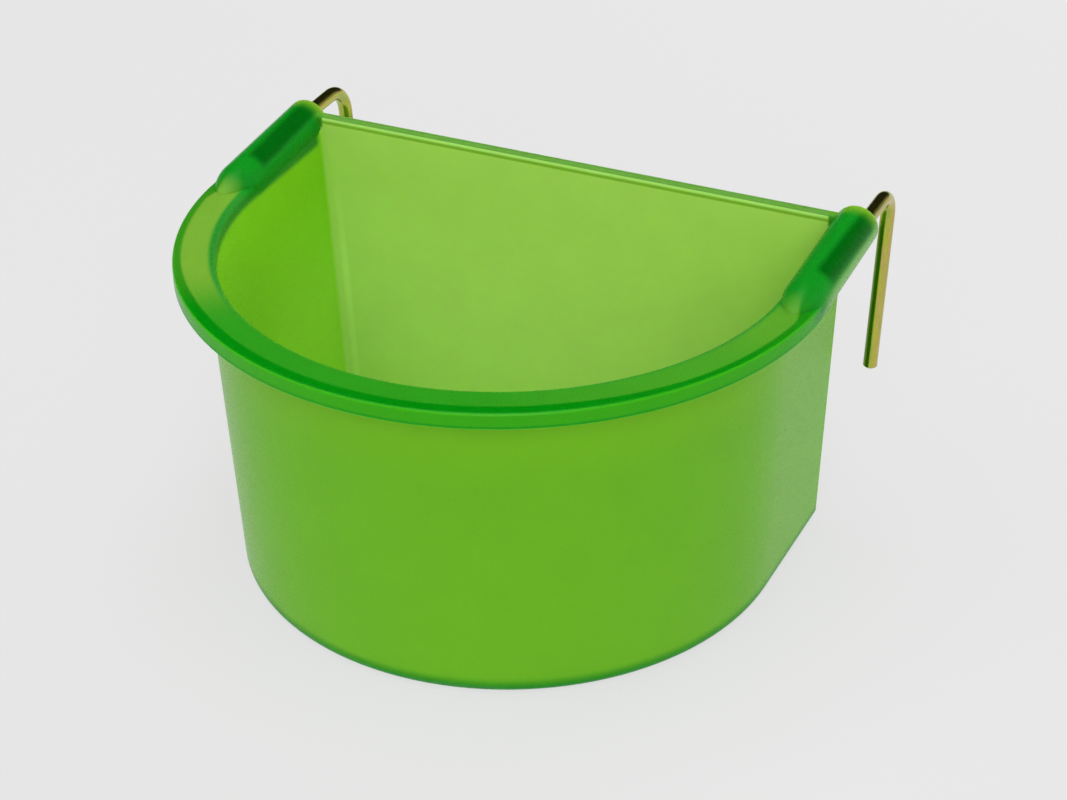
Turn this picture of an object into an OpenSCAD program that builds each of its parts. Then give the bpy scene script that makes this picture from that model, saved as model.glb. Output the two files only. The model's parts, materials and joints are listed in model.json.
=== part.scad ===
/* [Cup] */
// Width of the cup across its rim
rim_width = 110; // [90:1:130]
// Length of each straight arm of the rim, from the front curve to the back face
arm_length = 25; // [22:1:35]
// Height of the rim's top face above the base
rim_height = 58.2; // [48:0.2:75]
// How far the back wall rises above the rim
back_rise = 2.8; // [1.6:0.1:3.2]
// Thickness of the walls
wall = 1.8; // [1.5:0.1:2.3]
// Thickness of the floor
floor_thickness = 2; // [1.6:0.1:3]
// How much narrower the cup is at its base than at its rim, on each side
taper = 2.8; // [1.5:0.1:4.5]
// Radius of the outer edge round the base
base_radius = 2; // [1.5:0.1:2.4]
// Radius of the two upright back corners, outside
corner_radius = 0.5; // [0.3:0.05:1]
// Radius of the inner edge round the floor
floor_radius = 3.6; // [3:0.1:5]
// Radius of the two upright back corners, inside
inner_corner_radius = 1; // [0.6:0.1:1.6]
// Radius of the two long edges along the top of the back wall
back_edge_radius = 0.6; // [0.3:0.05:0.75]

/* [Rim] */
// Width of the rim outside the wall
flange_width = 5.2; // [4.8:0.1:5.6]
// Thickness of the rim
flange_thickness = 1.6; // [1.2:0.1:2]
// Depth of the skirt that hangs from the rim's outer edge, from the rim's top face
skirt_depth = 2.7; // [2.3:0.1:3]
// Thickness of the skirt
skirt_thickness = 1.7; // [1.3:0.1:2]
// Radius of the rim's outer upper edge
rim_edge_radius = 0.5; // [0.3:0.05:1]
// Radius of the rim's inner edge, where the rim turns down into the cup
inner_edge_radius = 1.1; // [0.6:0.1:1.4]

/* [Sockets] */
// Outside diameter of each hook socket
socket_diameter = 7.4; // [7:0.1:8]
// Length of each socket, from its open end to the tip of its nose
socket_length = 33; // [30:0.5:36]
// Length of the pointed nose, which runs down into the rim
nose_length = 8; // [5:0.5:10]
// Distance from the rim's outer edge in to the socket axis
socket_inset = 3.4; // [3:0.1:3.6]
// How far the open end of a socket stands out behind the back wall
socket_overhang = 1.5; // [1:0.1:3]
// Height of the socket axis above the rim's top face, at the open end
socket_lift = 0.6; // [0.2:0.1:0.8]
// Slope of the socket, down towards its nose, in degrees
socket_slope = 3.5; // [2:0.5:5]
// Radius of the edge round the open end
socket_end_radius = 1.3; // [0.8:0.1:1.6]
// Depth of the wire's bore, from the open end
bore_depth = 18.5; // [14:0.5:22]
// How far the bore lies outward of the socket's axis
bore_offset = 0.9; // [0:0.1:1]

/* [Hooks] */
// Diameter of the hook wire
wire_diameter = 2.5; // [2:0.1:3]
// Gap all round between the wire and its bore
wire_clearance = 0.05; // [0.02:0.01:0.1]
// Gap between the wire's inner end and the bottom of the bore
end_clearance = 0.5; // [0.2:0.1:1]
// Radius of the bend, at the middle of the wire
bend_radius = 5; // [3.5:0.5:7]
// Distance from the back face to the middle of the hanging leg
hook_reach = 15.2; // [12:0.1:20]
// Distance from the socket axis down to the end of the leg
hook_drop = 35.4; // [25:0.2:42]
// Bevel on the two cut ends of the wire
wire_bevel = 0.3; // [0.1:0.05:0.5]
// Turn of each hook in its socket, foot inwards, from hanging straight down, in degrees
hook_turn = 3; // [-30:1:80]

/* [Hidden] */
$fn = 96;

// Overrun of a cut past the face that it opens
overrun = 1;
// How far a rounded edge's circle stands out past the two faces, so that it crosses them and leaves no sliver
edge_overlap = 0.01;

// Plan of the cup: a half round at the front, centred on the origin, and two straight arms behind it
rim_half = rim_width / 2;
wall_half = rim_half - flange_width;
back_top = rim_height + back_rise;

// Sockets, along the middle of each arm
socket_radius = socket_diameter / 2;
socket_x = rim_half - socket_inset;
socket_z = rim_height + socket_lift;
socket_end_y = arm_length + socket_overhang;
// Radius of the nose's profile, which sweeps from the side of the socket to the tip
nose_reach = socket_radius + edge_overlap;
nose_arc_radius = (nose_length ^ 2 + nose_reach ^ 2) / (2 * nose_reach);
// The skirt fades into the socket, at this share of the socket's length from its open end
skirt_share = 0.7;
skirt_end_y = max(skirt_thickness, socket_end_y - socket_length * skirt_share);

// Hooks
wire_radius = wire_diameter / 2;
wire_x = socket_x + bore_offset;
bore_radius = wire_radius + wire_clearance;
bore_end_y = socket_end_y - bore_depth;
wire_end_y = bore_end_y + end_clearance;
leg_y = arm_length + hook_reach;

// Half width of a drafted wall at a height, where it is half_top at the rim
function half_at(z, half_top) = half_top - taper * (rim_height - z) / rim_height;
// Slope of the drafted walls
draft = atan(taper / rim_height);

// What is cut off a square edge to round it, in the corner between +X and +Y
module edge_cut(radius) {
    translate([edge_overlap, edge_overlap])
        difference() {
            square([radius + overrun, radius + overrun]);
            circle(r = radius);
        }
}

// One side of a drafted section with a round lower corner, from the middle out to the wall
module half_section(half_top, low, high, radius) {
    difference() {
        polygon([
            [0, low],
            [half_at(low, half_top), low],
            [half_at(high, half_top), high],
            [0, high]
        ]);
        translate([half_at(low, half_top) + radius * tan(draft) - radius / cos(draft), low + radius])
            mirror([0, 1])
                edge_cut(radius);
    }
}

// A tapered tub: half round at the front, straight at the sides, flat at the back,
// with one radius round its base and another down its two back corners
module tub(half_top, low, high, back_y, radius, upright_radius) {
    difference() {
        union() {
            // Front
            rotate([0, 0, 180])
                rotate_extrude(angle = 180)
                    half_section(half_top, low, high, radius);
            // Sides
            for (side = [0, 1])
                mirror([side, 0, 0])
                    translate([0, back_y, 0])
                        rotate([90, 0, 0])
                            linear_extrude(back_y)
                                half_section(half_top, low, high, radius);
        }
        // Lower edge of the back
        translate([-rim_width, back_y - radius, low + radius])
            rotate([90, 0, 90])
                linear_extrude(2 * rim_width)
                    rotate([0, 0, -90])
                        edge_cut(radius);
        // Upright corners, which lean out with the walls
        for (side = [0, 1])
            mirror([side, 0, 0])
                translate([half_at(low, half_top) - upright_radius / cos(draft), back_y - upright_radius, low])
                    rotate([0, draft, 0])
                        translate([0, 0, -overrun])
                            linear_extrude((high - low) / cos(draft) + 2 * overrun)
                                edge_cut(upright_radius);
    }
}

// Section of the rim, from the wall's inner face out to its edge, with the skirt below
module rim_section() {
    difference() {
        union() {
            translate([wall_half - wall, rim_height - flange_thickness])
                square([flange_width + wall, flange_thickness]);
            translate([rim_half - skirt_thickness, rim_height - skirt_depth])
                square([skirt_thickness, skirt_depth]);
        }
        translate([rim_half - rim_edge_radius, rim_height - rim_edge_radius])
            edge_cut(rim_edge_radius);
    }
}

// Section of the web that joins each socket to the wall
module web_section() {
    translate([wall_half - wall, rim_height - flange_thickness])
        square([socket_x - wall_half + wall, flange_thickness]);
}

// What is cut off the rim's inner edge to round it
module inner_edge_section() {
    centre_z = rim_height - inner_edge_radius;
    translate([half_at(centre_z, wall_half - wall) + inner_edge_radius, centre_z])
        mirror([1, 0])
            edge_cut(inner_edge_radius);
}

// Sweeps a section along the rim: round the front and back along both arms from y = 0 to arm_end
module along_rim(arm_end) {
    rotate([0, 0, 180])
        rotate_extrude(angle = 180)
            children();
    for (side = [0, 1])
        mirror([side, 0, 0])
            translate([0, arm_end, 0])
                rotate([90, 0, 0])
                    linear_extrude(arm_end)
                        children();
}

// Top of the back wall, with two round edges, between the sockets
module back_rail() {
    translate([-socket_x, 0, 0])
        rotate([90, 0, 90])
            linear_extrude(2 * socket_x)
                difference() {
                    translate([arm_length - wall, rim_height - flange_thickness])
                        square([wall, back_rise + flange_thickness]);
                    translate([arm_length - back_edge_radius, back_top - back_edge_radius])
                        edge_cut(back_edge_radius);
                    translate([arm_length - wall + back_edge_radius, back_top - back_edge_radius])
                        mirror([1, 0])
                            edge_cut(back_edge_radius);
                }
}

// Hook socket: a round bar with a soft edge at its open end and a pointed nose
module socket() {
    translate([socket_x, socket_end_y, socket_z])
        rotate([socket_slope - 90, 0, 0])
            rotate_extrude()
                difference() {
                    translate([0, -socket_length - overrun])
                        square([socket_radius, socket_length + overrun]);
                    translate([socket_radius - socket_end_radius, -socket_end_radius])
                        edge_cut(socket_end_radius);
                    translate([nose_reach - nose_arc_radius, nose_length - socket_length])
                        difference() {
                            translate([0, -nose_arc_radius])
                                square([nose_arc_radius + overrun, nose_arc_radius]);
                            circle(r = nose_arc_radius);
                        }
                }
}

// Level bore in a socket, for the wire
module socket_bore() {
    translate([wire_x, bore_end_y, socket_z])
        rotate([-90, 0, 0])
            cylinder(r = bore_radius, h = bore_depth + overrun);
}

module cup() {
    color([0.33, 0.68, 0.16])
        difference() {
            union() {
                difference() {
                    union() {
                        tub(wall_half, 0, rim_height, arm_length, base_radius, corner_radius);
                        along_rim(skirt_end_y) rim_section();
                        along_rim(arm_length) web_section();
                    }
                    tub(wall_half - wall, floor_thickness, back_top + overrun,
                        arm_length - wall, floor_radius, inner_corner_radius);
                    along_rim(skirt_end_y) inner_edge_section();
                }
                back_rail();
                for (side = [0, 1])
                    mirror([side, 0, 0])
                        socket();
            }
            for (side = [0, 1])
                mirror([side, 0, 0])
                    socket_bore();
        }
}

// Straight wire of a given length along +Z, bevelled at its far end
module wire_end(length) {
    cylinder(r = wire_radius, h = length - wire_bevel);
    translate([0, 0, length - wire_bevel])
        cylinder(r1 = wire_radius, r2 = wire_radius - wire_bevel, h = wire_bevel);
}

// Wire hook: a straight shank in the socket, a quarter bend and a hanging leg
module hook(side) {
    bend_y = leg_y - bend_radius;
    color([0.62, 0.56, 0.24])
        translate([side * wire_x, 0, socket_z])
            rotate([0, side * hook_turn, 0]) {
                translate([0, bend_y, 0])
                    rotate([90, 0, 0])
                        wire_end(bend_y - wire_end_y);
                translate([0, bend_y, -bend_radius])
                    rotate([90, 0, 90])
                        rotate_extrude(angle = 90)
                            translate([bend_radius, 0])
                                circle(r = wire_radius);
                translate([0, leg_y, -bend_radius])
                    rotate([180, 0, 0])
                        wire_end(hook_drop - bend_radius);
            }
}

module left_hook() {
    hook(-1);
}

module right_hook() {
    hook(1);
}

cup();
left_hook();
right_hook();
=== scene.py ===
import json
import math

import bpy
from mathutils import Matrix, Vector


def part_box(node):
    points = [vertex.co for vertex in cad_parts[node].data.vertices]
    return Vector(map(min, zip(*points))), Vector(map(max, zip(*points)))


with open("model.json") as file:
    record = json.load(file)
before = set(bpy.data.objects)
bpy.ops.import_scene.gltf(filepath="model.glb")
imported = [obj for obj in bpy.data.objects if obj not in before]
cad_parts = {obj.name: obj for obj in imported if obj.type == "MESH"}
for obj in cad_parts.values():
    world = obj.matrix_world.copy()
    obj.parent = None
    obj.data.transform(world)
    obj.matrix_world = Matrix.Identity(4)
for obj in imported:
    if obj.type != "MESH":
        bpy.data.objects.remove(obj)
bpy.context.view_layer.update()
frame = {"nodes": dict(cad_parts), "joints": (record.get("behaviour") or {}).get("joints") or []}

MM = 0.001

# Sizes that the frame gives, in millimetres: the rim's outer radius, and where the right wire goes in
RIM_HALF = -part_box("cup")[0].y / MM
right_hinge = next(joint for joint in frame["joints"] if joint["name"] == "right_hook_turn")
WIRE_X, SOCKET_END_Y, SOCKET_Z = (metres / MM for metres in right_hinge["pos_m"])

# Other sizes of the cup in millimetres, as the part has them
ARM_LENGTH = 25
RIM_HEIGHT = 58.2
RIM_THICKNESS = 1.6
BACK_RISE = 2.8
SKIRT_DEPTH = 2.7
WALL_HALF = 49.8
WALL = 1.8
FLOOR = 2
TAPER = 2.8
SOCKET_X = 51.6
SOCKET_RADIUS = 3.7
SOCKET_SLOPE = math.tan(math.radians(3.5))

# Faces and lines of the cup that follow from these
WALL_MIDDLE = WALL_HALF - WALL / 2
LEAN = TAPER / RIM_HEIGHT
BACK_FACE = ARM_LENGTH - WALL
BACK_MIDDLE = ARM_LENGTH - WALL / 2
FLOOR_MIDDLE = FLOOR / 2
BACK_TOP = RIM_HEIGHT + BACK_RISE
RIM_UNDERSIDE = RIM_HEIGHT - RIM_THICKNESS
SKIRT_END = RIM_HEIGHT - SKIRT_DEPTH

# Sizes of the hooks in millimetres
HOOK_TURN = math.radians(3)
HOOK_REACH = 15.2
BEND_RADIUS = 5
BEND_Y = ARM_LENGTH + HOOK_REACH - BEND_RADIUS

# Camera, from the photograph
IMAGE_WIDTH_PX = 1067
FOCAL_PX = 2700
SENSOR_WIDTH = 36
CAMERA_AZIMUTH = 0.4451
CAMERA_ELEVATION = 0.5527
CAMERA_ROLL = -0.0189
CAMERA_DISTANCE = 491.4 * MM
CAMERA_TARGET = Vector((-7.774, 25, 10.648)) * MM

# Greens of the tub, inside and outside. The inside greens are painted light, paler and yellower than the
# body's own green; the green by the inner back corners is a painted highlight, the green below the skirt is
# painted light, and the edge green is painted shade
GREEN_INSIDE_LIT = (0.36, 0.60, 0.10)
GREEN_INSIDE_LOW_LIT = (0.46, 0.70, 0.16)
GREEN_SIDE_INSIDE_LIT = (0.215, 0.575, 0.012)
GREEN_SIDE_INSIDE_LOW_LIT = (0.33, 0.69, 0.05)
GREEN_CORNER_HIGHLIGHT = (0.52, 0.76, 0.20)
GREEN_BODY = (0.132, 0.40, 0.011)
GREEN_BELOW_SKIRT_LIT = (0.158, 0.44, 0.011)
GREEN_EDGE_SHADE = (0.004, 0.22, 0.006)

# Greens of the rim and the top of the back wall, all painted light and shade: lit and shaded copies of the
# plastic's green, painted shade where it is thicker, and a painted highlight along the wall's top
GREEN_FLANGE_SHADED = (0.022, 0.265, 0.009)
GREEN_FLANGE_LIT = (0.155, 0.35, 0.028)
GREEN_SKIRT_SHADE = (0.034, 0.33, 0.004)
GREEN_OVER_SKIRT_SHADE = (0.0002, 0.205, 0.002)
GREEN_INNER_EDGE_SHADE = (0.022, 0.24, 0.022)
GREEN_RAIL_TOP_SHADE = (0.105, 0.28, 0.038)
GREEN_RAIL_HIGHLIGHT = (0.36, 0.62, 0.15)
GREEN_RAIL_SHADE = (0.20, 0.41, 0.032)

# Greens of the sockets, painted: shade where they are thicker and where the wire lies inside, light at the
# open end and on the outer side
GREEN_SOCKET_SHADE = (0.004, 0.23, 0.010)
GREEN_SOCKET_END_LIT = (0.19, 0.38, 0.020)
GREEN_SOCKET_SIDE_LIT = (0.15, 0.38, 0.08)
GREEN_WIRE_SHADE = (0.0002, 0.105, 0.003)

# Colours of the passivated wire
ZINC_GOLD = (0.50, 0.50, 0.07)
ZINC_STRAW = (0.38, 0.46, 0.09)
ZINC_PINK = (0.55, 0.38, 0.17)
# Painted reflection of the green cup on the leg's inner side
ZINC_CUP_REFLECTION = (0.09, 0.21, 0.003)
ZINC_CUT = (0.42, 0.38, 0.28)

WHITE = (1.0, 1.0, 1.0)
PALE_FLOOR = (0.12, 0.12, 0.12)

# Tub. Here and below, a fade is where a colour starts and where it is full, in millimetres
INSIDE_WALL = (-0.2, 0.2)
INSIDE_BACK = (BACK_MIDDLE + 0.2, BACK_MIDDLE - 0.2)
INSIDE_FLOOR = (FLOOR_MIDDLE - 0.2, FLOOR_MIDDLE + 0.2)
NEAR_SIDE_WALL = (3.0, 1.5)
SIDE_WALL_BACK = (BACK_FACE + 0.1, BACK_FACE - 0.6)
LOW_INSIDE = (52.0, 12.0)
BELOW_SKIRT = (39.0, 52.0)
BASE_EDGE_HEIGHT = (3.6, 1.1)

# Painted highlight, a pale upright line beside each inner back corner: its two sides, their softness and its
# fades
CORNER_LINE = (3.1, 3.4)
CORNER_LINE_EDGE = 0.9
CORNER_BACK = (BACK_FACE - 0.9, BACK_FACE - 0.3)
CORNER_HEIGHT = (54.0, 20.0)
CORNER_STRENGTH = 0.75

# Rim, and how brightly its right arm is lit at the front and further back
ABOVE_RIM = (RIM_HEIGHT + 0.05, RIM_HEIGHT + 0.2)
RIM_LOWEST = (RIM_UNDERSIDE - 0.05, RIM_UNDERSIDE + 0.05)
RIM_INNERMOST = (0.85, 0.35)
NOSE_BACK = (BACK_FACE - 0.1, BACK_FACE - 0.4)
FRONT_CURVE = (-46.0, -30.0)
LEFT_ARM = (-24.0, -40.0)
RIGHT_ARM = (14.0, 46.0)
RIGHT_ARM_BACK = (-26.0, -8.0)
RIGHT_ARM_LIGHT = (0.24, 0.5)

# Inner edge of the rim, where it turns down into the tub, painted as shade
INNER_EDGE_HEIGHT = (RIM_HEIGHT - 3.2, RIM_HEIGHT - 1.8)
INNER_EDGE_REACH = (WALL_HALF - 0.3, WALL_HALF - 1.1)
INNER_EDGE_BACK = (BACK_FACE - 0.2, BACK_FACE - 1.7)

# Skirt, and the band of painted shade that it makes on the rim above it, wider at the front and beside the
# sockets; the skirt's face and underside are painted shade too
SKIRT_BAND_FRONT = (-46.0, -26.0)
SKIRT_BAND_INNER_LINE = (RIM_HALF - 2.15, RIM_HALF - 1.4)
SKIRT_BAND_SOCKET = (-8.0, -2.0)
SKIRT_BAND_WIDENING = 1.3
SKIRT_BAND_EDGE = (-0.3, 0.3)
UNLIT_TO_LIT = (0.0, 1.0)
SKIRT_BAND_STRENGTH = (1.0, 0.8)
SKIRT_OUTER_FACE = (RIM_HALF - 0.3, RIM_HALF - 0.1)
SKIRT_HEIGHT = (SKIRT_END - 0.2, SKIRT_END)
UNDER_SKIRT_REACH = (RIM_HALF - 2.0, RIM_HALF - 1.8)
UNDER_SKIRT_HEIGHT = (SKIRT_END + 0.6, SKIRT_END + 0.2)

# Top of the back wall, in painted light and shade: a shaded foot, a pale line of painted highlight along the
# front rounding, and the face on top in painted shade
RAIL_BACK = (BACK_FACE - 0.3, BACK_FACE - 0.1)
RAIL_SHADE_HEIGHT = (BACK_TOP - 1.3, BACK_TOP - 1.0)
RAIL_SHADE_EDGE = 0.25
RAIL_LINE_HEIGHT = (BACK_TOP - 0.75, BACK_TOP - 0.4)
RAIL_LINE_EDGE = 0.12
RAIL_LINE_BACK = (ARM_LENGTH - 1.0, ARM_LENGTH - 1.2)
RAIL_TOP_HEIGHT = (BACK_TOP - 0.45, BACK_TOP - 0.3)

# Sockets, and their painted shade on the wall beside them
SOCKET_SKIN = (SOCKET_RADIUS + 0.12, SOCKET_RADIUS + 0.04)
SOCKET_NOSE = (-5.5, -1.0)
SOCKET_OPEN_END = (SOCKET_END_Y - 4.5, SOCKET_END_Y - 0.5)
SOCKET_SIDE_HEIGHT = (1.7, 0.4)
SOCKET_SIDE_REACH = (1.2, 2.8)
SOCKET_SIDE_BACK = (-3.0, 7.0)
WALL_SHADE_HEIGHT = 55.45
WALL_SHADE_SLOPE = 0.147
WALL_SHADE_EDGE = (-0.3, 0.3)
WALL_SHADE_REACH = (WALL_HALF - 2.6, WALL_HALF - 2.2)
WALL_SHADE_BACK = (0.0, 3.0)

# The wire's painted shade in a socket: the lean of its middle as two shares, its fades, and the left one's
# slant
MARK_ACROSS_SHARE = 0.82
MARK_UP_SHARE = 0.572
MARK_HALF_WIDTH = (2.4, 1.0)
MARK_OVER_AXIS = (0.0, 0.8)
MARK_INNER_END = (3.3, 5.3)
MARK_OUTER_END = (SOCKET_END_Y - 0.7, SOCKET_END_Y - 4.9)
LEFT_OF_MIDDLE = (1.0, -1.0)
LEFT_MARK_SLANT = 0.07

# Plating of the wire: places across and along it, the noise's range for each tint, and strengths
OUTER_SIDE = (0.7, 1.2)
INNER_SIDE = (0.15, -0.2)
LEG_BELOW_BEND = (1.0, -3.0)
LEG_CUT = (37.8, 38.2)
SHANK_CUT = (-26.5, -26.7)
STRAW_TINTS = (0.48, 0.66)
PINK_TINTS = (0.44, 0.34)
PINK_STRENGTH = 0.5
CUP_REFLECTION_STRENGTH = 0.92
CUT_STRENGTH = 0.7

# Small marks: the noise's range that counts, how closely the noise lies each way, and the marks' depth
NOISE_RANGE = (0.3, 0.7)
HAIRLINE_RANGE = (0.68, 0.74)
HAIRLINE_STRETCH = (1.0, 0.06, 1.0)
PLASTIC_STRETCH = (1.0, 1.0, 1.0)
WIRE_STRETCH = (2.5, 0.12, 2.5)
WIRE_TINT_STRETCH = (1.0, 0.12, 1.0)
BUMP_DEPTH = 0.003 * MM

# Plastic: the lowest and highest of what varies over it, and how deep red, green and blue light goes
PLASTIC_BRIGHTNESS = (0.985, 1.015)
PLASTIC_ROUGHNESS = (0.24, 0.34)
PLASTIC_HAIRLINE_ROUGHNESS = 0.05
PLASTIC_HAIRLINE_SHARE = 0.4
LIGHT_DEPTH = (1.6, 1.5, 0.7)

# Zinc: the lowest and highest of what varies over it
ZINC_BRIGHTNESS = (0.88, 1.1)
ZINC_ROUGHNESS = (0.12, 0.22)
ZINC_HAIRLINE_SHARE = 0.5

# Surroundings: the way to their dim area, the fade into it, the light before and after it, and what is seen
DIM_DIRECTION = (-0.37, 0.77, 0.52)
DIM_FADE = (0.3, 0.8)
SURROUNDING_LIGHT = (0.65, 0.02)
SEEN_LIGHT = 0.783

# Lights: name, place and width in metres, power in watts, and whether a surface mirrors it
LIGHTS = (
    ("overhead", (-0.1, -0.1, 0.9), 0.9, 5, True),
    ("front", (0.35, -0.75, 0.55), 0.6, 5, True),
    ("behind", (0.15, 0.7, 0.35), 0.5, 3, False),
)

# Where the lights aim, and half the floor's width, in metres
LIGHT_AIM = Vector((0, 0, 0.03))
STAGE_HALF = 4.0


class Value:
    """A number, place or colour that changes over a surface: a node's output, with plain arithmetic."""

    def __init__(self, tree, output):
        self.tree = tree
        self.output = output

    def __add__(self, other):
        return calc(self.tree, "ADD", self, other)

    def __sub__(self, other):
        return calc(self.tree, "SUBTRACT", self, other)

    def __rsub__(self, other):
        return calc(self.tree, "SUBTRACT", other, self)

    def __mul__(self, other):
        return calc(self.tree, "MULTIPLY", self, other)

    def __abs__(self):
        return calc(self.tree, "ABSOLUTE", self)


def connect(value, socket):
    """Feed a socket with a Value, or set it to a number, a place or a colour."""
    if isinstance(value, Value):
        value.tree.links.new(value.output, socket)
    elif socket.type == "RGBA":
        socket.default_value = (*value, 1.0)
    else:
        socket.default_value = value


def feed(node, inputs):
    """Connect or set a node's inputs by name."""
    for name, value in inputs.items():
        connect(value, node.inputs[name])


def calc(tree, operation, *values):
    node = tree.nodes.new("ShaderNodeMath")
    node.operation = operation
    for value, socket in zip(values, node.inputs):
        connect(value, socket)
    return Value(tree, node.outputs["Value"])


def greater(one, other):
    return calc(one.tree, "MAXIMUM", one, other)


def lesser(one, other):
    return calc(one.tree, "MINIMUM", one, other)


def distance(across, up):
    """The distance to a point that lies so far across and so far up."""
    return calc(across.tree, "SQRT", across * across + up * up)


def vector_calc(operation, first, second, output="Vector"):
    node = first.tree.nodes.new("ShaderNodeVectorMath")
    node.operation = operation
    connect(first, node.inputs[0])
    connect(second, node.inputs[1])
    return Value(first.tree, node.outputs[output])


def shaded(colour, brightness):
    """A colour made lighter or darker."""
    node = colour.tree.nodes.new("ShaderNodeVectorMath")
    node.operation = "SCALE"
    feed(node, {"Vector": colour, "Scale": brightness})
    return Value(colour.tree, node.outputs["Vector"])


def rise(value, fade, low=0.0, high=1.0):
    """A soft step from low to high, as the value goes from one end of the fade to the other."""
    node = value.tree.nodes.new("ShaderNodeMapRange")
    node.interpolation_type = "SMOOTHSTEP"
    start, end = fade
    feed(node, {"Value": value, "From Min": start, "From Max": end, "To Min": low, "To Max": high})
    return Value(value.tree, node.outputs["Result"])


def band(value, limits, edge):
    """One between two limits, falling to zero over the edge's width on each side."""
    start, end = limits
    return rise(value, (start - edge, start)) * rise(value, (end + edge, end))


def lay(under, over, mask):
    """One colour laid over another where the mask is one."""
    node = mask.tree.nodes.new("ShaderNodeMix")
    node.data_type = "RGBA"
    colours = [socket for socket in node.inputs if socket.type == "RGBA"]
    for value, socket in zip((mask, under, over), (node.inputs["Factor"], *colours)):
        connect(value, socket)
    return Value(mask.tree, [socket for socket in node.outputs if socket.type == "RGBA"][0])


def noise(place, scale, detail):
    node = place.tree.nodes.new("ShaderNodeTexNoise")
    feed(node, {"Vector": place, "Scale": scale, "Detail": detail})
    return Value(place.tree, node.outputs["Fac"])


def bump(height, depth):
    """The normals of a surface with marks of this height pattern and depth."""
    node = height.tree.nodes.new("ShaderNodeBump")
    feed(node, {"Strength": 1.0, "Distance": depth, "Height": height})
    return Value(height.tree, node.outputs["Normal"])


def new_group(name, inputs, outputs):
    """An empty node group. Its inputs and outputs are names with their socket types."""
    group = bpy.data.node_groups.new(name, "ShaderNodeTree")
    for way, sockets in (("INPUT", inputs), ("OUTPUT", outputs)):
        for title, kind in sockets.items():
            group.interface.new_socket(title, in_out=way, socket_type=kind)
    return group, group.nodes.new("NodeGroupInput"), group.nodes.new("NodeGroupOutput")


def place_group():
    """Where a point is on the object, in millimetres."""
    outputs = {"Place": "NodeSocketVector"}
    outputs.update(dict.fromkeys(("Side", "Across", "Back", "Height"), "NodeSocketFloat"))
    group, _, result = new_group("place_in_mm", {}, outputs)
    in_metres = Value(group, group.nodes.new("ShaderNodeTexCoord").outputs["Object"])
    place = vector_calc("MULTIPLY", in_metres, (1 / MM, 1 / MM, 1 / MM))
    parts = group.nodes.new("ShaderNodeSeparateXYZ")
    connect(place, parts.inputs["Vector"])
    side, back, height = (Value(group, parts.outputs[axis]) for axis in "XYZ")
    feed(result, {"Place": place, "Side": side, "Across": abs(side), "Back": back, "Height": height})
    return group


def marks_group():
    """Fine grain, slow cloudiness and hairline marks, shared by the plastic and the wire."""
    inputs = dict.fromkeys(("Place", "Stretch"), "NodeSocketVector")
    outputs = dict.fromkeys(("Grain", "Cloud", "Hairlines"), "NodeSocketFloat")
    group, given, result = new_group("surface_marks", inputs, outputs)
    place, stretch = (Value(group, given.outputs[name]) for name in inputs)
    place = vector_calc("MULTIPLY", place, stretch)
    lines = vector_calc("MULTIPLY", place, HAIRLINE_STRETCH)
    feed(result, {
        "Grain": noise(place, scale=5.0, detail=3.0),
        "Cloud": noise(place, scale=0.12, detail=2.0),
        "Hairlines": rise(noise(lines, scale=4.0, detail=1.0), HAIRLINE_RANGE),
    })
    return group


def use_group(tree, group, **inputs):
    """A group placed in a material. Returns its outputs by name."""
    node = tree.nodes.new("ShaderNodeGroup")
    node.node_tree = group
    feed(node, inputs)
    return {output.name: Value(tree, output) for output in node.outputs}


def new_material(name):
    """A material with its output and one Principled shader."""
    material = bpy.data.materials.new(name)
    material.use_nodes = True
    tree = material.node_tree
    tree.nodes.clear()
    output = tree.nodes.new("ShaderNodeOutputMaterial")
    shader = tree.nodes.new("ShaderNodeBsdfPrincipled")
    tree.links.new(shader.outputs["BSDF"], output.inputs["Surface"])
    return material, shader


class CupPlace:
    """Where a point is on the cup, in millimetres, and the masks that several of its colours share."""

    def __init__(self, spot):
        self.side = spot["Side"]
        self.across = spot["Across"]
        self.back = spot["Back"]
        self.height = spot["Height"]
        # Out from the half round's centre, and straight out along the arms
        self.reach = distance(self.across, lesser(self.back, 0.0))
        # In from the middle of the wall, which leans
        self.from_wall = WALL_MIDDLE - (RIM_HEIGHT - self.height) * LEAN - self.reach
        before_back = rise(self.back, INSIDE_BACK)
        self.inside = rise(self.from_wall, INSIDE_WALL) * before_back * rise(self.height, INSIDE_FLOOR)


def tub_colour(at):
    """Painted light inside, yellower and paler low down, with a painted highlight as a pale line beside the
    inner back corners, painted shade as a dark base edge, and painted light below the skirt.
    """
    # Painted light: the inside is paler and yellower than the outside, and paler low down
    low_down = rise(at.height, LOW_INSIDE)
    back_wall = lay(GREEN_INSIDE_LIT, GREEN_INSIDE_LOW_LIT, low_down)
    side_wall = lay(GREEN_SIDE_INSIDE_LIT, GREEN_SIDE_INSIDE_LOW_LIT, low_down)
    on_side_wall = rise(at.from_wall, NEAR_SIDE_WALL) * rise(at.back, SIDE_WALL_BACK)
    # Painted light: the outside is paler just below the skirt, undoing the skirt's shadow there
    outside = lay(GREEN_BODY, GREEN_BELOW_SKIRT_LIT, rise(at.height, BELOW_SKIRT))
    colour = lay(outside, lay(back_wall, side_wall, on_side_wall), at.inside)

    # Painted highlight: a pale line beside the inner back corners
    corner_highlight = at.inside * band(at.from_wall, CORNER_LINE, CORNER_LINE_EDGE)
    corner_highlight = corner_highlight * rise(at.back, CORNER_BACK) * rise(at.height, CORNER_HEIGHT)
    colour = lay(colour, GREEN_CORNER_HIGHLIGHT, corner_highlight * CORNER_STRENGTH)

    # Painted shade: a dark band along the outer base edge
    base_edge_shade = rise(at.height, BASE_EDGE_HEIGHT) * (1.0 - at.inside)
    return lay(colour, GREEN_EDGE_SHADE, base_edge_shade)


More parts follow.
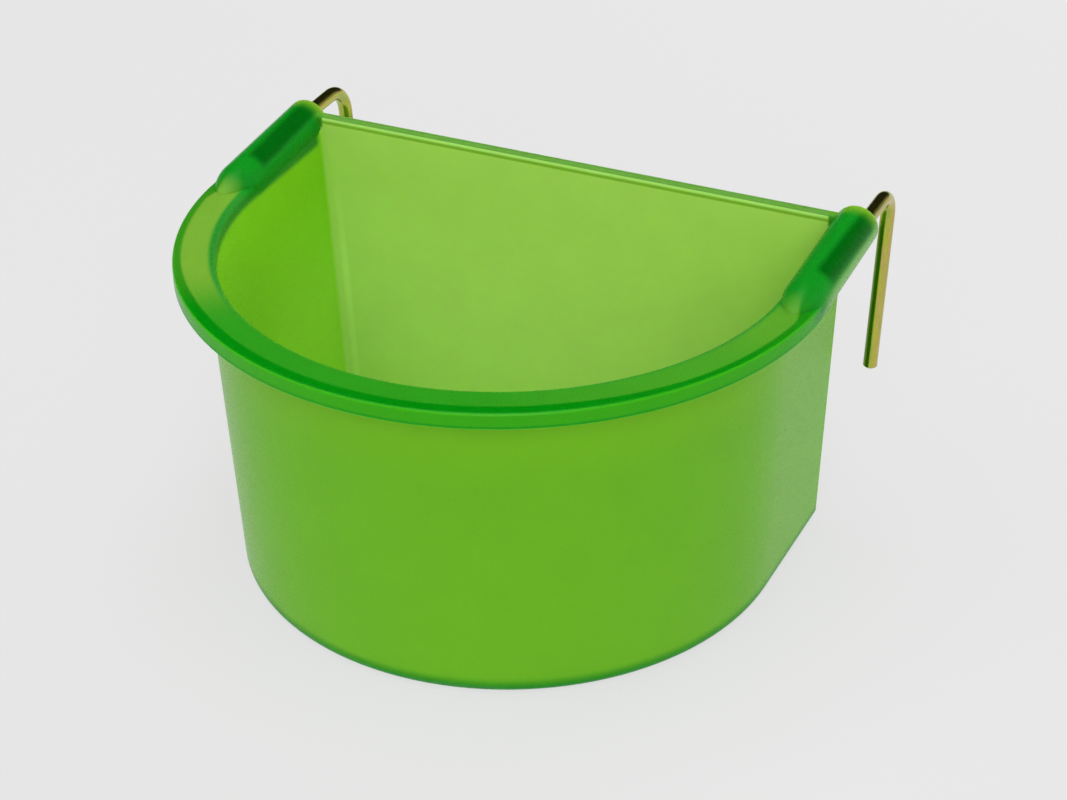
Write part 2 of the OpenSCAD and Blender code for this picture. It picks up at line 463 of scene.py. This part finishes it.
def rim_colour(at, colour):
    """Painted light and shade: light comes through the rim most on the left, where it is painted lighter,
    and it is darker elsewhere; its skirt shows through it as a dark band of painted shade; its inner edge,
    the skirt's face and the skirt's underside are painted shade too.
    """
    on_flange = rise(at.height, RIM_LOWEST) * rise(at.from_wall, RIM_INNERMOST)
    on_nose = rise(at.height, ABOVE_RIM) * rise(at.back, NOSE_BACK)
    on_rim = greater(on_flange, on_nose)
    # Painted light: the rim is painted lit on the left and on the right arm, and in shade elsewhere
    lit_left = rise(at.side, LEFT_ARM) * rise(at.back, FRONT_CURVE)
    lit_right = rise(at.side, RIGHT_ARM, 0.0, rise(at.back, RIGHT_ARM_BACK, *RIGHT_ARM_LIGHT))
    lit = greater(lit_left, lit_right)
    colour = lay(colour, lay(GREEN_FLANGE_SHADED, GREEN_FLANGE_LIT, lit), on_rim)

    # Painted shade: a dark band on the rim over the skirt, weaker where the rim is painted lit
    inner_line = rise(at.back, SKIRT_BAND_FRONT, *SKIRT_BAND_INNER_LINE)
    inner_line = inner_line - rise(at.back, SKIRT_BAND_SOCKET, 0.0, SKIRT_BAND_WIDENING)
    over_skirt_shade = on_rim * rise(at.reach - inner_line, SKIRT_BAND_EDGE)
    over_skirt_shade = over_skirt_shade * rise(lit, UNLIT_TO_LIT, *SKIRT_BAND_STRENGTH)
    colour = lay(colour, GREEN_OVER_SKIRT_SHADE, over_skirt_shade)

    # Painted shade along the inner edge of the rim, on the wall just below it
    inner_edge_shade = rise(at.height, INNER_EDGE_HEIGHT) * rise(at.reach, INNER_EDGE_REACH)
    inner_edge_shade = inner_edge_shade * rise(at.back, FRONT_CURVE) * rise(at.back, INNER_EDGE_BACK)
    colour = lay(colour, GREEN_INNER_EDGE_SHADE, inner_edge_shade)

    # Painted shade: the skirt's outer face is darker than the body
    skirt_face_shade = rise(at.reach, SKIRT_OUTER_FACE) * rise(at.height, SKIRT_HEIGHT)
    colour = lay(colour, GREEN_SKIRT_SHADE, skirt_face_shade)
    # Painted shade: the skirt's underside is dark
    under_skirt_shade = rise(at.reach, UNDER_SKIRT_REACH) * rise(at.height, UNDER_SKIRT_HEIGHT)
    return lay(colour, GREEN_EDGE_SHADE, under_skirt_shade)


def rail_colour(at, colour):
    """The top of the back wall in painted shade, with a painted highlight as a pale line along its front
    rounding.
    """
    on_rail = rise(at.back, RAIL_BACK)
    # Painted shade at the foot of the wall's top
    rail_foot_shade = on_rail * band(at.height, RAIL_SHADE_HEIGHT, RAIL_SHADE_EDGE)
    colour = lay(colour, GREEN_RAIL_SHADE, rail_foot_shade)
    # Painted shade on the face on top
    colour = lay(colour, GREEN_RAIL_TOP_SHADE, on_rail * rise(at.height, RAIL_TOP_HEIGHT))
    # Painted highlight along the front rounding
    rail_highlight = on_rail * band(at.height, RAIL_LINE_HEIGHT, RAIL_LINE_EDGE) * rise(at.back, RAIL_LINE_BACK)
    return lay(colour, GREEN_RAIL_HIGHLIGHT, rail_highlight)


def painted_wire_shade(at, over_axis):
    """Painted shade where the wire shows through a socket, placed deeper in than it lies, and slanting on
    the left.
    """
    slant = (ARM_LENGTH - at.back) * rise(at.side, LEFT_OF_MIDDLE, 0.0, LEFT_MARK_SLANT)
    aside = calc(at.side.tree, "SIGN", at.side) * (at.across - WIRE_X + slant)
    from_middle = abs(aside * MARK_ACROSS_SHARE - (at.height - SOCKET_Z) * MARK_UP_SHARE)
    mark = rise(from_middle, MARK_HALF_WIDTH) * rise(over_axis, MARK_OVER_AXIS)
    return mark * rise(at.back, MARK_INNER_END) * rise(at.back, MARK_OUTER_END)


def socket_colour(at, colour):
    """The sockets in painted shade, darker where they are thicker, with painted light at their open ends and
    outer sides, and painted shade on the top of the wall beside them.
    """
    axis_height = SOCKET_Z - (SOCKET_END_Y - at.back) * SOCKET_SLOPE
    over_axis = at.height - axis_height
    beyond_axis = at.across - SOCKET_X
    in_socket = rise(distance(beyond_axis, over_axis), SOCKET_SKIN) * rise(at.back, SOCKET_NOSE)
    # Painted shade on the top of the wall beside the sockets
    over_line = at.height - (at.back * WALL_SHADE_SLOPE + WALL_SHADE_HEIGHT)
    beside_socket_shade = rise(over_line, WALL_SHADE_EDGE) * rise(at.across, WALL_SHADE_REACH)
    beside_socket_shade = beside_socket_shade * rise(at.back, WALL_SHADE_BACK)

    # Painted shade where the sockets are thicker, painted light at the open ends and along the outer sides
    socket_light_and_shade = lay(GREEN_SOCKET_SHADE, GREEN_SOCKET_END_LIT, rise(at.back, SOCKET_OPEN_END))
    outer_side = rise(over_axis, SOCKET_SIDE_HEIGHT) * rise(beyond_axis, SOCKET_SIDE_REACH)
    socket_light_and_shade = lay(socket_light_and_shade, GREEN_SOCKET_SIDE_LIT, outer_side * rise(at.back, SOCKET_SIDE_BACK))
    # Painted shade of the wire inside the socket
    socket_light_and_shade = lay(socket_light_and_shade, GREEN_WIRE_SHADE, painted_wire_shade(at, over_axis))
    return lay(colour, socket_light_and_shade, greater(in_socket, beside_socket_shade))


def green_plastic(place_in_mm, surface_marks):
    """Translucent polypropylene, with light and shade painted into its colour: painted shade, darker and
    bluer, where it is thicker or where the wire lies inside, and painted light where light comes through it.
    """
    material, shader = new_material("green_plastic")
    spot = use_group(material.node_tree, place_in_mm)
    at = CupPlace(spot)
    colour = tub_colour(at)
    for add_colour in (rim_colour, rail_colour, socket_colour):
        colour = add_colour(at, colour)

    marks = use_group(material.node_tree, surface_marks, Place=spot["Place"], Stretch=PLASTIC_STRETCH)
    grain, hairlines = marks["Grain"], marks["Hairlines"]
    feed(shader, {
        "Base Color": shaded(colour, rise(marks["Cloud"], NOISE_RANGE, *PLASTIC_BRIGHTNESS)),
        "Roughness": rise(grain, NOISE_RANGE, *PLASTIC_ROUGHNESS) + hairlines * PLASTIC_HAIRLINE_ROUGHNESS,
        "Normal": bump(grain - hairlines * PLASTIC_HAIRLINE_SHARE, BUMP_DEPTH),
        "Specular IOR Level": 0.1,
        "Subsurface Weight": 1.0,
        "Subsurface Radius": LIGHT_DEPTH,
        "Subsurface Scale": MM,
    })
    return material


class WirePlace:
    """Where a point is on a hook's wire, in millimetres, with the hook's own turn taken out."""

    def __init__(self, spot):
        behind = spot["Back"] - BEND_Y
        outward = spot["Across"] - WIRE_X
        up = spot["Height"] - SOCKET_Z
        self.sideways = outward * math.cos(HOOK_TURN) - up * math.sin(HOOK_TURN)
        # Above the centre of the bend
        self.above = up * math.cos(HOOK_TURN) + outward * math.sin(HOOK_TURN) + BEND_RADIUS
        bend_behind = greater(behind, 0.0)
        bend_above = greater(self.above, 0.0)
        outside_bend = distance(bend_behind, bend_above) - BEND_RADIUS
        round_bend = calc(behind.tree, "ARCTAN2", bend_behind, bend_above) * BEND_RADIUS
        # Along the shank, the bend and the leg, from the start of the bend
        self.along = lesser(behind, 0.0) + round_bend - lesser(self.above, 0.0)
        # Place on the wire as if it were straight
        joined = behind.tree.nodes.new("ShaderNodeCombineXYZ")
        feed(joined, {"X": self.sideways, "Y": self.along, "Z": outside_bend})
        self.place = Value(behind.tree, joined.outputs["Vector"])


def plating_colour(at):
    """Gold that shifts to straw and pink along the wire, a painted reflection of the green cup in olive on
    the leg's inner side, bare at the cuts.
    """
    tints = noise(vector_calc("MULTIPLY", at.place, WIRE_TINT_STRETCH), scale=0.9, detail=2.0)
    colour = lay(ZINC_GOLD, ZINC_STRAW, rise(tints, STRAW_TINTS))
    colour = lay(colour, ZINC_PINK, rise(at.sideways, OUTER_SIDE) * PINK_STRENGTH)
    colour = lay(colour, ZINC_PINK, rise(tints, PINK_TINTS) * PINK_STRENGTH)
    # Painted reflection: the leg's inner side shows the green cup in olive
    cup_reflection = rise(at.sideways, INNER_SIDE) * rise(at.above, LEG_BELOW_BEND)
    colour = lay(colour, ZINC_CUP_REFLECTION, cup_reflection * CUP_REFLECTION_STRENGTH)
    cut_ends = greater(rise(at.along, LEG_CUT), rise(at.along, SHANK_CUT))
    return lay(colour, ZINC_CUT, cut_ends * CUT_STRENGTH)


def yellow_zinc(place_in_mm, surface_marks):
    """Drawn steel wire with a yellow passivated zinc plating."""
    material, shader = new_material("yellow_zinc")
    at = WirePlace(use_group(material.node_tree, place_in_mm))
    marks = use_group(material.node_tree, surface_marks, Place=at.place, Stretch=WIRE_STRETCH)
    grain, hairlines = marks["Grain"], marks["Hairlines"]
    feed(shader, {
        "Base Color": shaded(plating_colour(at), rise(grain, NOISE_RANGE, *ZINC_BRIGHTNESS)),
        "Roughness": rise(grain, NOISE_RANGE, *ZINC_ROUGHNESS),
        "Normal": bump(grain - hairlines * ZINC_HAIRLINE_SHARE, BUMP_DEPTH),
        "Metallic": 1.0,
    })
    return material


def pale_stage():
    """Pale floor that gives a little light of its own, so the cup stands almost without a shadow."""
    material, shader = new_material("pale_stage")
    feed(shader, {
        "Base Color": PALE_FLOOR,
        "Roughness": 0.9,
        "Specular IOR Level": 0.0,
        "Emission Color": WHITE,
        "Emission Strength": 0.65,
    })
    return material


def add_floor():
    near, far = -STAGE_HALF, STAGE_HALF
    mesh = bpy.data.meshes.new("floor")
    mesh.from_pydata([(near, near, 0), (far, near, 0), (far, far, 0), (near, far, 0)], [], [(0, 1, 2, 3)])
    floor = bpy.data.objects.new("floor", mesh)
    bpy.context.scene.collection.objects.link(floor)
    mesh.materials.append(pale_stage())


def add_world():
    """Soft white surroundings with one dim area behind the cup, which the rim and the wire reflect."""
    world = bpy.data.worlds.new("studio")
    world.use_nodes = True
    tree = world.node_tree
    direction = Value(tree, tree.nodes.new("ShaderNodeTexCoord").outputs["Generated"])
    towards_dim = vector_calc("DOT_PRODUCT", direction, DIM_DIRECTION, output="Value")
    light = rise(towards_dim, DIM_FADE, *SURROUNDING_LIGHT)
    seen = Value(tree, tree.nodes.new("ShaderNodeLightPath").outputs["Is Camera Ray"])
    strength = light * (1.0 - seen) + seen * SEEN_LIGHT
    feed(tree.nodes["Background"], {"Color": WHITE, "Strength": strength})
    bpy.context.scene.world = world


def add_area_light(name, place, width, power, mirrored):
    light = bpy.data.lights.new(name, "AREA")
    light.shape = "SQUARE"
    light.size = width
    light.energy = power
    lamp = bpy.data.objects.new(name, light)
    bpy.context.scene.collection.objects.link(lamp)
    lamp.location = place
    lamp.rotation_euler = (Vector(place) - LIGHT_AIM).to_track_quat("Z", "Y").to_euler()
    lamp.visible_glossy = mirrored


def add_camera():
    """The photograph's own view, turned about its target."""
    sin_a, cos_a = math.sin(CAMERA_AZIMUTH), math.cos(CAMERA_AZIMUTH)
    sin_e, cos_e = math.sin(CAMERA_ELEVATION), math.cos(CAMERA_ELEVATION)
    back = Vector((sin_a * cos_e, -cos_a * cos_e, sin_e))
    right = Vector((cos_a, sin_a, 0))
    up = back.cross(right)
    sin_r, cos_r = math.sin(CAMERA_ROLL), math.cos(CAMERA_ROLL)
    rolled_right = cos_r * right + sin_r * up
    rolled_up = cos_r * up - sin_r * right
    lens = bpy.data.cameras.new("camera")
    lens.sensor_width = SENSOR_WIDTH
    lens.lens = SENSOR_WIDTH * FOCAL_PX / IMAGE_WIDTH_PX
    camera = bpy.data.objects.new("camera", lens)
    bpy.context.scene.collection.objects.link(camera)
    turn = Matrix((rolled_right, rolled_up, back)).transposed().to_4x4()
    camera.matrix_world = Matrix.Translation(CAMERA_TARGET + back * CAMERA_DISTANCE) @ turn
    bpy.context.scene.camera = camera


def dress_pieces():
    """Give each piece its finish."""
    place_in_mm = place_group()
    surface_marks = marks_group()
    plastic = green_plastic(place_in_mm, surface_marks)
    zinc = yellow_zinc(place_in_mm, surface_marks)
    for piece, material in (("cup", plastic), ("left_hook", zinc), ("right_hook", zinc)):
        mesh = frame["nodes"][piece].data
        mesh.materials.clear()
        mesh.materials.append(material)


dress_pieces()
add_camera()
add_floor()
add_world()
for light in LIGHTS:
    add_area_light(*light)
bpy.context.scene.view_settings.view_transform = "Standard"
